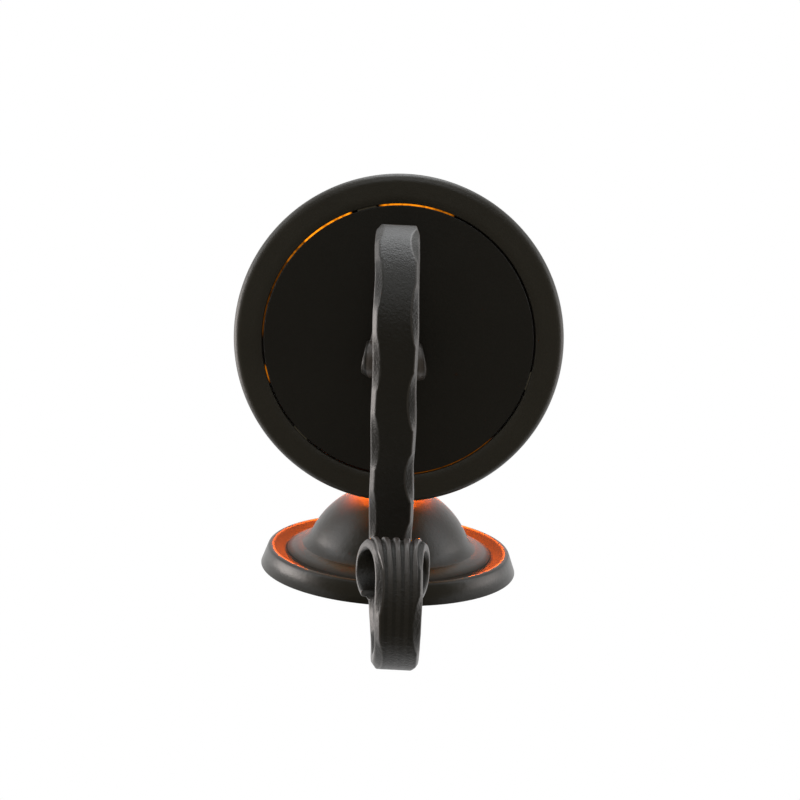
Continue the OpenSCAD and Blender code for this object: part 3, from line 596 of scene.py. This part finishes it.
def canopy_outline(inset):
    """The spun canopy's profile from the wall to the nipple hole."""
    lean = math.degrees(math.atan((CANOPY_D - RIM_D) / 2 / RIM_H))
    rim_c = np.array([RIM_D / 2 - RIM_ROUND, RIM_H - RIM_ROUND])
    crease = np.array([CREASE_D / 2, LEDGE_H])
    fall = math.radians(LEDGE_LEAN)
    ledge_c = crease - LEDGE_ROUND * np.array([math.sin(fall), math.cos(fall)])
    dish = math.radians(DISH_LEAN)
    down = np.array([-math.cos(dish), -math.sin(dish)])
    start = rim_c + (RIM_ROUND + HOLLOW_R) * np.array([-math.sin(dish), math.cos(dish)])
    way = (ledge_c - start) @ down
    off = ((ledge_c - start) ** 2).sum()
    hollow_c = start + (way - math.sqrt(way ** 2 - off + (LEDGE_ROUND + HOLLOW_R) ** 2)) * down
    dome_c = np.array([0, DOME_H - DOME_R])
    flare_c = crossing(dome_c, DOME_R + FLARE_R, crease, FLARE_R)
    hole_r = NIPPLE_D / 2 + RUN_GAP
    top_r = DOME_R - inset
    return np.concatenate([
        [[CANOPY_D / 2 - inset / math.cos(math.radians(lean)), 0]],
        arc(*rim_c, RIM_ROUND - inset, lean, 90 + DISH_LEAN, 14),
        arc(*hollow_c, HOLLOW_R + inset, DISH_LEAN - 90, bearing(ledge_c - hollow_c), 12),
        arc(*ledge_c, LEDGE_ROUND - inset, bearing(hollow_c - ledge_c), 89 - LEDGE_LEAN, 16),
        arc(*flare_c, FLARE_R + inset, bearing(crease - flare_c), bearing(dome_c - flare_c), 14),
        arc(*dome_c, top_r, bearing(flare_c - dome_c) + 2, math.degrees(math.acos(hole_r / top_r)), 40),
    ])


class WALLLIGHT_OT_canopy(bpy.types.Operator):
    """Spin the canopy that covers the wall box"""

    bl_idname = "wall_light.canopy"
    bl_label = "Spun Canopy"

    def execute(self, context):
        line = np.concatenate([canopy_outline(0), canopy_outline(SHEET_T)[::-1]])
        points, faces = lathe(line, ROUND_STEPS, out_from_wall)
        finish = context.scene.wall_light_finish
        # The canopy's coat is painted 2.5 times paler, as painted light
        coat = powder_coat("canopy_coat", finish, smoother=0.08, painted_light_gain=2.5, dull_ring=BRIM)
        canopy = make_piece("spun_canopy", points, faces, "fixture", coat)
        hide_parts("wall_canopy")
        return {"FINISHED"}


class WALLLIGHT_OT_pan(bpy.types.Operator):
    """Press the drip pan and coat the plate and tabs inside its ring gap"""

    bl_idname = "wall_light.pan"
    bl_label = "Drip Pan"

    def execute(self, context):
        r, lip, gap_r = PAN_D / 2, PAN_T / 2, PLATE_D / 2 + RING_GAP
        line = np.concatenate([
            [[gap_r, 0.4], [gap_r + 0.4, 0], [gap_r + 4, 0]],
            arc(r - PAN_ROUND, PAN_ROUND, PAN_ROUND, -90, 0, 20),
            arc(r - lip, PAN_RIM_H - lip, lip, 0, 180, 14),
            arc(r - PAN_ROUND, PAN_ROUND, PAN_ROUND - PAN_T, 0, -90, 12),
            [[gap_r + 4, PAN_T], [gap_r, PAN_T]],
        ])
        points, faces = lathe(line, ROUND_STEPS, on_pan)
        finish = context.scene.wall_light_finish
        # The pan's coat is painted 3.5 times paler, as painted light on its ring and rim
        coat = powder_coat("pan_coat", finish, painted_light_gain=3.5)
        pan = make_piece("pressed_drip_pan", points, faces, "fixture", coat)
        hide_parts("drip_pan")
        dress(("base_plate",), powder_coat("plate_coat", finish))
        dress(("pan_tabs",), weld_scale("weld_scale", finish))
        return {"FINISHED"}


# Scroll arm

def turn_steps(centre, r, start, end, steps):
    """Places and headings along an arc of the arm's path, ends included."""
    p = np.linspace(start, end, steps + 1)
    turn = np.radians(p)
    heading = p + 90 * np.sign(end - start)
    return np.stack([centre[0] + r * np.cos(turn), centre[1] + r * np.sin(turn), heading], axis=1)


def arm_path(step):
    """The bar's middle line from the upper tip to the lower tip: distance from the wall,
    distance below the fixing, and heading in degrees."""
    seat = PAN_DROP + BAR_T / 2
    upper_c = np.array([LOCK_U + SEAT_FRONT, seat + UPPER_R])
    upper_curl_c = np.array([PAN_REACH - SEAT_BACK, seat + UPPER_CURL_R])
    lower_c = np.array([LOWER_R + BAR_T / 2, LOWER_DROP])
    ease_c = lower_c + [0, LOWER_R - EASE_R]
    toward_end = np.array([math.sin(math.radians(EASE_TURN)), math.cos(math.radians(EASE_TURN))])
    lower_curl_c = ease_c + (EASE_R - LOWER_CURL_R) * toward_end
    link_a, link_b = upper_c + [0, UPPER_R], lower_c - [0, LOWER_R]
    posts = np.array([link_a, link_a - [LINK_PULL, 0], link_b + [LINK_PULL, 0], link_b])

    def steps(r, turn):
        """Steps that an arc takes."""
        return max(4, round(r * math.radians(turn) / step))

    def link(t):
        """Places along the reverse bend between the two loops."""
        t = t[:, None]
        s = 1 - t
        return (s ** 3 * posts[0] + 3 * s * s * t * posts[1]
                + 3 * s * t * t * posts[2] + t ** 3 * posts[3])

    t = np.linspace(0, 1, round(LINK_LEN / step))[1:-1]
    ahead = link(t + 0.004) - link(t - 0.004)
    linked = np.column_stack([link(t), np.degrees(np.arctan2(ahead[:, 1], ahead[:, 0]))])
    seat_from, seat_to = upper_curl_c[0], upper_c[0]
    seat_x = np.linspace(seat_from, seat_to, round((seat_to - seat_from) / step))[1:-1]
    ease = turn_steps(ease_c, EASE_R, 90, 90 - EASE_TURN, steps(EASE_R, EASE_TURN))
    return np.concatenate([
        turn_steps(upper_curl_c, UPPER_CURL_R, 270 - CURL_TURN, 270,
                   steps(UPPER_CURL_R, CURL_TURN * 2)),
        np.stack([seat_x, seat + 0 * seat_x, 0 * seat_x], axis=1),
        turn_steps(upper_c, UPPER_R, -90, 90, steps(UPPER_R, 180)),
        linked,
        turn_steps(lower_c, LOWER_R, 270, 90, steps(LOWER_R, 180)),
        ease[1:],
        turn_steps(lower_curl_c, LOWER_CURL_R, 90 - EASE_TURN, 90 - EASE_TURN - CURL_TURN,
                   steps(LOWER_CURL_R, CURL_TURN * 1.6))[1:],
    ])


def hammer_blow(s, edge, forge):
    """The cut on one of the bar's four edges at distance s along it: its reach across the face
    and its drop down the side. Each blow spreads the steep broken edge into a shallow facet.
    The third value is how much of a facet is there, from 0 to 1."""
    wander = 0.04 * np.sin(np.radians(s * 2.3 + edge * 100))
    w = (s - FACET_STARTS[edge]) / (forge.facet_pitch * 1000) + wander
    blow = np.floor(w)
    part = np.minimum((w - blow) / forge.facet_share, 1)
    force = 0.86 + 0.14 * np.sin(np.radians(blow * 137 + edge * 50))
    deep = force * np.sin(np.pi * part) ** 0.75
    reach = EDGE_CUTS[edge] + (forge.facet_depth * 1000 - EDGE_CUTS[edge]) * deep
    return reach, EDGE_DROP + (FACET_DROP - EDGE_DROP) * deep, deep


def toward_tip(s, length, lower_len):
    """From 0 where a fishtail starts to 1 at its tip. The upper one starts with its curl."""
    upper_len = UPPER_CURL_R * math.radians(CURL_TURN)
    return np.where(s < length / 2, 1 - s / upper_len, 1 - (length - s) / lower_len)


def bar_form(s, length):
    """Half the bar's width and half its thickness at distance s along it, and the share of the
    hammering that is left there."""
    tip = np.minimum(s, length - s)
    spread = smooth((SPREAD_LEN - tip) / (SPREAD_LEN - SPREAD_FULL)) ** 2
    half_w = ((BAR_W + (TAIL_W - BAR_W) * spread) / 2 + 0.2 * np.sin(np.radians(s * 9))
              - TIP_DRAW * (1 - smooth(tip / TIP_LEN)))
    thick = BAR_T + (TAIL_T - BAR_T) * smooth(toward_tip(s, length, DRAW_LEN))
    fade = 0.25 + 0.75 * smooth((thick - TAIL_T) / (BAR_T - TAIL_T))
    return half_w, thick / 2, fade


def bar_corners(w, t, fade, cuts):
    """The section's eight corners: each edge is cut back on its face and on its side."""
    c = [reach * fade for reach, drop, deep in cuts]
    d = [np.minimum(drop * fade, t * 0.68) for reach, drop, deep in cuts]
    return np.array([
        [-w + c[0], -t], [w - c[1], -t],
        [w - c[1] * EDGE_GIVE, -t + d[1]], [w - c[2] * EDGE_GIVE, t - d[2]],
        [w - c[2], t], [-w + c[3], t],
        [-w + c[3] * EDGE_GIVE, t - d[3]], [-w + c[0] * EDGE_GIVE, -t + d[0]],
    ]).transpose(2, 0, 1)


def round_corners(corners, edge_round):
    """Three points for each corner, where its rounding starts, at its middle and where it ends."""
    ahead = np.roll(corners, -1, axis=1) - corners
    span = np.maximum(np.hypot(ahead[..., 0], ahead[..., 1]), 1e-6)[..., None]
    unit = ahead / span
    turn_in = np.minimum(edge_round, span * 0.3)
    turn_out = np.minimum(edge_round, np.roll(span, 1, axis=1) * 0.3)
    before = corners - np.roll(unit, 1, axis=1) * turn_out
    after = corners + unit * turn_in
    return before, corners * 0.5 + (before + after) * 0.25, after


def arm_rings(path, forge):
    """Section rings of the arm: eight rounded edges, ribbed faces and hammered corners,
    and how much painted highlight each point gets. Of the eight sides, 0 and 4 are the broad
    faces, 2 and 6 the narrow ones, and the rest are cut by the hammer."""
    stride = np.hypot(*np.diff(path[:, :2], axis=0).T)
    s = np.concatenate([[0], np.cumsum(stride)])
    length = s[-1]
    w, t, fade = bar_form(s, length)
    cuts = [hammer_blow(s, edge, forge) for edge in range(4)]
    before, middle, after = round_corners(bar_corners(w, t, fade, cuts), forge.edge_round * 1000)
    upper = s < length / 2
    near_tip = smooth(2.2 * toward_tip(s, length, RIB_LEN))
    ribbed = forge.rib_height * 1000 * np.where(upper, UPPER_RIB_SHARE, 1.0) * near_tip
    streaked = near_tip * 0.75 + smooth(1.4 * toward_tip(s, length, STREAK_LEN)) * 0.2
    edge_of = {1: 1, 3: 2, 5: 3, 7: 0}
    columns, rubbed = [], []
    for side in range(8):
        broad = side in (0, 4)
        plain = 0 * s if broad else 1 + 0 * s
        # Narrow sides and unhammered edges get the full painted highlight, deep hammer facets less
        highlight_share = np.clip(1 - cuts[edge_of[side]][2] / 0.4, 0, 1) if side in edge_of else plain
        columns += [before[:, side], middle[:, side], after[:, side]]
        rubbed += [plain, plain, highlight_share]
        start, end = after[:, side], before[:, (side + 1) % 8]
        steps = 12 * forge.rib_count if broad else 4
        for f in np.arange(1, steps) / steps:
            point, highlight = start * (1 - f) + end * f, highlight_share
            if broad:
                across = (point[:, 0] / (w - RIB_MARGIN) + 1) / 2
                ridge = smooth((np.abs(np.sin(np.pi * across * forge.rib_count)) - 0.45) / 0.4)
                raised = ribbed * np.where(upper == (side == 0), 1, 0) * ridge
                point = point + np.stack([0 * raised, raised * (-1 if side == 0 else 1)], axis=1)
                # Painted highlight: over the whole face near the upper tip, and on the lower fishtail's
                # rib crests, fading down it in streaks
                highlight = RIB_HIGHLIGHT * np.where(upper, near_tip, ridge * streaked * (side == 4))
            columns.append(point)
            rubbed.append(highlight)
    return place_rings(path, s / length, np.stack(columns, axis=1)), np.stack(rubbed, axis=1)


def place_rings(path, share, section):
    """Stands the sections along the arm's path, which leans a little as in the photograph."""
    heading = np.radians(path[:, 2])[:, None]
    aside = (-ARM_SHIFT - math.tan(math.radians(ARM_YAW)) * (path[:, 0] - PAN_REACH)
             + math.tan(math.radians(ARM_ROLL)) * (path[:, 1] - PAN_DROP)
             + CURL_LEAN * (smooth((share - 0.62) / 0.22) - 0.7 * smooth((share - 0.87) / 0.1)))
    return np.stack([
        section[..., 0] + aside[:, None],
        -(path[:, 0][:, None] - section[..., 1] * np.sin(heading)),
        -(path[:, 1][:, None] + section[..., 1] * np.cos(heading)),
    ], axis=-1)


class WALLLIGHT_OT_arm(bpy.types.Operator):
    """Forge the scroll arm with its hammered edges and ribbed fishtails"""

    bl_idname = "wall_light.arm"
    bl_label = "Forged Scroll Arm"

    def execute(self, context):
        forge = context.scene.wall_light_forge
        finish = context.scene.wall_light_finish
        rings, rubbed = arm_rings(arm_path(forge.ring_step * 1000), forge)
        count, around = rings.shape[:2]
        faces = grid_faces(count, around, False, True).tolist()
        faces.append(list(range(around))[::-1])
        faces.append([(count - 1) * around + j for j in range(around)])
        # The arm's coat is painted 1.5 times paler, as painted light
        coat = powder_coat("arm_coat", finish, hammered=True, painted_light_gain=1.5)
        arm = make_piece("forged_arm", rings.reshape(-1, 3), faces, "fixture", coat)
        # Stores the painted highlight for the arm's coat
        highlight = arm.data.attributes.new(HIGHLIGHT_ATTRIBUTE, "FLOAT", "POINT")
        highlight.data.foreach_set("value", rubbed.reshape(-1))
        even_normals(arm)
        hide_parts("scroll_arm")
        return {"FINISHED"}


# Candle

def wax_run(angle, z, depth):
    """How far the wax runs stand out at an angle and a height, with a bead at the end of each."""
    total = 0 * angle * z
    for place, share, width in WAX_RUNS:
        off = np.abs((angle - place + 540) % 360 - 180) / width
        ridge = np.exp(-off ** 2) * smooth((z / SLEEVE_H - 1 + share) * 9)
        end = SLEEVE_H * (1 - share) + 6
        bead = 0.45 * np.exp(-off ** 2) * np.exp(-((z - end) / 4.5) ** 2)
        total = np.maximum(total, ridge + bead)
    return depth * total


def melted_top(angle):
    """Height of the melted top edge at an angle."""
    turn = np.radians(angle)
    return SLEEVE_H - MELT_H + MELT_H * (
        0.5 * np.sin(turn * 2 + math.radians(40)) + 0.3 * np.sin(turn * 3 - math.radians(70))
        + 0.2 * np.sin(turn * 5))


class WALLLIGHT_OT_candle(bpy.types.Operator):
    """Cast the wax sleeve with its melted top edge and runs"""

    bl_idname = "wall_light.candle"
    bl_label = "Wax Candle Sleeve"

    def execute(self, context):
        candle = context.scene.wall_light_candle
        count = candle.round_steps
        depth = candle.run_depth * 1000
        angle = np.arange(count)[:, None] * 360 / count
        r, inner = SLEEVE_D / 2, SLEEVE_D / 2 - SLEEVE_T
        lip = SLEEVE_T / 2
        top = melted_top(angle)
        share = np.linspace(0.01, 0.975, 110)[None, :]
        wall_z = share * top
        rim = np.radians(np.linspace(10, 170, 12))[None, :]
        rim_r = r - lip + lip * np.cos(rim)
        rim_z = top - lip + lip * np.sin(rim)
        inner_share = np.linspace(0.96, 0, 12)[None, :]
        radius = np.concatenate([
            r - 0.8 + 0 * top,
            r + wax_run(angle, wall_z, depth),
            rim_r + wax_run(angle, rim_z, depth) * np.maximum(0, np.cos(rim)),
            inner + 0 * inner_share * top,
        ], axis=1)
        height = np.concatenate([0 * top, wall_z, rim_z, inner_share * top], axis=1)
        turn = np.radians(angle)
        points = on_pan((radius * np.cos(turn)).reshape(-1), (radius * np.sin(turn)).reshape(-1),
                        height.reshape(-1) + PLATE_T)
        wax = lit_wax("candle_wax", candle)
        faces = grid_faces(count, radius.shape[1], True, True)
        sleeve = make_piece("wax_sleeve", points, faces, "sleeve", wax)
        cut_neck_slot(sleeve)
        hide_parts("candle_sleeve")
        return {"FINISHED"}


def cut_neck_slot(sleeve):
    """Cuts the slot at the sleeve's back that lets it lift past the neck tube."""
    foot = PLATE_T - PAN_DROP
    half = SLOT_W / 2
    outline = np.concatenate([[[half, foot - 2]], arc(0, 0, half, 0, 180, 32), [[-half, foot - 2]]])
    near, far = -PAN_REACH, -PAN_REACH + SLEEVE_D
    count = len(outline)
    points = [[x, y, z] for y in (near, far) for x, z in outline]
    faces = [list(range(count)), list(range(2 * count - 1, count - 1, -1))]
    faces += [[j, j + count, (j + 1) % count + count, (j + 1) % count] for j in range(count)]
    mesh = bpy.data.meshes.new("neck_slot_cutter")
    mesh.from_pydata((np.array(points) * MM).tolist(), [], faces)
    cutter = bpy.data.objects.new("neck_slot_cutter", mesh)
    bpy.context.scene.collection.objects.link(cutter)
    cut = sleeve.modifiers.new("Neck slot", "BOOLEAN")
    cut.operation = "DIFFERENCE"
    cut.object = cutter
    with bpy.context.temp_override(object=sleeve, active_object=sleeve):
        bpy.ops.object.modifier_apply(modifier=cut.name)
    bpy.data.objects.remove(cutter)


# Carried-over solids

def dress(nodes, material):
    """Gives solids their finish."""
    for node in nodes:
        solid = frame["nodes"][node]
        if not solid.material_slots:
            solid.data.materials.append(material)
        for place in solid.material_slots:
            place.material = material


def nodes_in(slot):
    """The solids whose record names a finish."""
    return [node for node, name in SLOTS.items() if name == slot]


class WALLLIGHT_OT_fixings(bpy.types.Operator):
    """Finish the strap, nipple, nuts, bracket, stud, screws and lugs"""

    bl_idname = "wall_light.fixings"
    bl_label = "Fixings"

    def execute(self, context):
        dress(nodes_in("zinc"), zinc_plate("zinc_plate", FINISHES["zinc"]))
        dress(("earth_screw",), lacquer("earth_lacquer", FINISHES["earth_green"]))
        dress(("collar_nut", "neck_tube"), powder_coat("collar_coat", context.scene.wall_light_finish))
        return {"FINISHED"}


class WALLLIGHT_OT_lampholder(bpy.types.Operator):
    """Finish the lampholder, its brass parts and the bulb"""

    bl_idname = "wall_light.lampholder"
    bl_label = "Lampholder and Bulb"

    def execute(self, context):
        candle = context.scene.wall_light_candle
        dress(nodes_in("porcelain"), glazed_porcelain("porcelain", FINISHES["porcelain"]))
        dress(nodes_in("brass"), drawn_brass("drawn_brass", FINISHES["brass"]))
        dress(nodes_in("cap_metal"), rolled_nickel("rolled_nickel", FINISHES["cap_metal"]))
        dress(("bulb_insulator",), black_insulator("black_insulator", FINISHES["vitrite"]))
        glass = clear_amber_glass("clear_amber_glass", FINISHES["bulb_glass"])
        dress(("bulb_glass", "bulb_stem"), glass)
        dress(("light_strips",), glowing_strip("glowing_strip", candle))
        return {"FINISHED"}


# Studio

def add_lamp(name, place, aim, power, size, colour, spread=LAMP_SPREAD):
    """A soft rectangular lamp that faces a point."""
    light = bpy.data.lights.new(name, "AREA")
    light.shape = "RECTANGLE"
    light.size, light.size_y = size
    light.energy = power
    light.color = colour
    light.spread = math.radians(spread)
    lamp = bpy.data.objects.new(name, light)
    lamp.location = place
    lamp.rotation_euler = (Vector(aim) - Vector(place)).to_track_quat("-Z", "Y").to_euler()
    bpy.context.scene.collection.objects.link(lamp)


class WALLLIGHT_OT_studio(bpy.types.Operator):
    """Set up the floor, the soft lamps, the white background and the camera"""

    bl_idname = "wall_light.studio"
    bl_label = "Studio"

    def execute(self, context):
        studio = context.scene.wall_light_studio
        context.scene.view_settings.view_transform = "Standard"
        self.add_floor(studio)
        self.add_world(context.scene, studio)
        self.add_lamps(studio)
        self.add_candle_light(studio)
        self.add_camera(context.scene, studio)
        return {"FINISHED"}

    def add_floor(self, studio):
        """A broad sheet of pale paper."""
        half = FLOOR_HALF
        corners = [(-half, -half), (half, -half), (half, half), (-half, half)]
        mesh = bpy.data.meshes.new("floor")
        mesh.from_pydata([(x, y, -studio.floor_drop) for x, y in corners], [], [(0, 1, 2, 3)])
        floor = bpy.data.objects.new("floor", mesh)
        bpy.context.scene.collection.objects.link(floor)
        paper = Finish("floor_paper", specular_ior_level=0.2)
        tone = paper.noise(3.0, 2.0)
        colour = paper.mix(tone, shade(studio.floor_colour, 0.98), studio.floor_colour)
        mesh.materials.append(paper.surface(base_color=colour, roughness=0.8 + tone * 0.1))

    def add_world(self, scene, studio):
        """Soft light from all round. The camera, metal and glass see plain white there."""
        scene.world = bpy.data.worlds.new("studio_sky")
        scene.world.use_nodes = True
        work = NodeWork(scene.world.node_tree)
        seen = work.node("LightPath", {}, {}, "Is Camera Ray")
        for ray in ("Is Glossy Ray", "Is Transmission Ray"):
            seen = seen.math("MAXIMUM", seen, work.node("LightPath", {}, {}, ray))
        sky = work.node("Background", {}, {"Color": WHITE, "Strength": studio.sky_level})
        white = work.node("Background", {}, {"Color": WHITE, "Strength": 1.0})
        output = next(n for n in work.nodes if n.type == "OUTPUT_WORLD")
        work.feed(output.inputs["Surface"], work.node("MixShader", {}, {0: seen, 1: sky, 2: white}))

    def add_lamps(self, studio):
        """Broad soft lamps round the light, each by its turn from the front and its rise."""
        lamps = (
            ("front_lamp", 0, 26, studio.key_power * 0.6, COOL),
            ("low_lamp", 0, -40, studio.key_power * 0.3, COOL),
            ("left_front_lamp", -65, 0, studio.side_power * 0.26, COOL),
            ("right_front_lamp", 65, 0, studio.side_power * 0.2, COOL),
            ("left_lamp", -96, 10, studio.side_power, WARM),
            ("right_lamp", 96, 10, studio.side_power * 0.35, WARM),
        )
        for name, turn, rise, power, colour in lamps:
            turn, rise = math.radians(turn), math.radians(rise)
            flat = math.cos(rise)
            way = Vector((math.sin(turn) * flat, -math.cos(turn) * flat, math.sin(rise)))
            add_lamp(name, Vector(LAMP_AIM) + way * LAMP_REACH, LAMP_AIM, power, LAMP_SIZE, colour)

    def add_candle_light(self, studio):
        """The light that the back of the candle throws on the canopy."""
        back = -(PAN_REACH - SLEEVE_D / 2 - RUN_DEPTH) * MM + 0.002
        add_lamp("candle_glow", (-0.001, back, -0.009), (-0.001, 0.0, -0.003),
                 studio.glow_power * 0.58, (0.034, 0.012), AMBER, 60)
        add_lamp("upper_glow", (0.0, -0.045, 0.1), (0.0, -0.01, 0.0),
                 studio.glow_power * 1.1, (0.07, 0.03), AMBER)

    def add_camera(self, scene, studio):
        """Stands where the photograph was taken: below the pan, looking up."""
        camera = bpy.data.cameras.new("camera")
        camera.lens = studio.lens
        camera.sensor_width = 36.0
        tilt = Matrix.Identity(3)
        for axis, turn in CAMERA_TURNS:
            tilt = tilt @ Matrix.Rotation(math.radians(turn), 3, axis)
        upside = Matrix.Diagonal((1.0, -1.0, -1.0))
        viewer = bpy.data.objects.new("camera", camera)
        viewer.matrix_world = Matrix.Translation(CAMERA_PLACE) @ (upside @ tilt.transposed()).to_4x4()
        scene.collection.objects.link(viewer)
        scene.camera = viewer


class WALLLIGHT_PT_build(bpy.types.Panel):
    """Lists the steps that build the light"""

    bl_idname = "WALLLIGHT_PT_build"
    bl_label = "Candle Wall Light"
    bl_space_type = "VIEW_3D"
    bl_region_type = "UI"
    bl_category = "Wall Light"

    def draw(self, context):
        column = self.layout.column()
        for group in SETTINGS:
            settings = getattr(context.scene, group)
            for name in SETTINGS[group].__annotations__:
                column.prop(settings, name)
        for step in STEPS:
            column.operator(step.bl_idname)


SETTINGS = {
    "wall_light_finish": WallLightFinish,
    "wall_light_candle": WallLightCandle,
    "wall_light_forge": WallLightForge,
    "wall_light_studio": WallLightStudio,
}
STEPS = (WALLLIGHT_OT_studio, WALLLIGHT_OT_canopy, WALLLIGHT_OT_pan, WALLLIGHT_OT_arm,
         WALLLIGHT_OT_candle, WALLLIGHT_OT_fixings, WALLLIGHT_OT_lampholder)


def register():
    """Adds the settings, the steps and the panel."""
    for group in (*SETTINGS.values(), *STEPS, WALLLIGHT_PT_build):
        bpy.utils.register_class(group)
    for name, group in SETTINGS.items():
        setattr(bpy.types.Scene, name, bpy.props.PointerProperty(type=group))


def unregister():
    """Takes them away again."""
    for name in SETTINGS:
        delattr(bpy.types.Scene, name)
    for group in reversed((*SETTINGS.values(), *STEPS, WALLLIGHT_PT_build)):
        bpy.utils.unregister_class(group)


def main():
    """Builds the light."""
    register()
    bpy.ops.wall_light.studio()
    bpy.ops.wall_light.canopy()
    bpy.ops.wall_light.pan()
    bpy.ops.wall_light.arm()
    bpy.ops.wall_light.candle()
    bpy.ops.wall_light.fixings()
    bpy.ops.wall_light.lampholder()


if __name__ == "__main__":
    main()
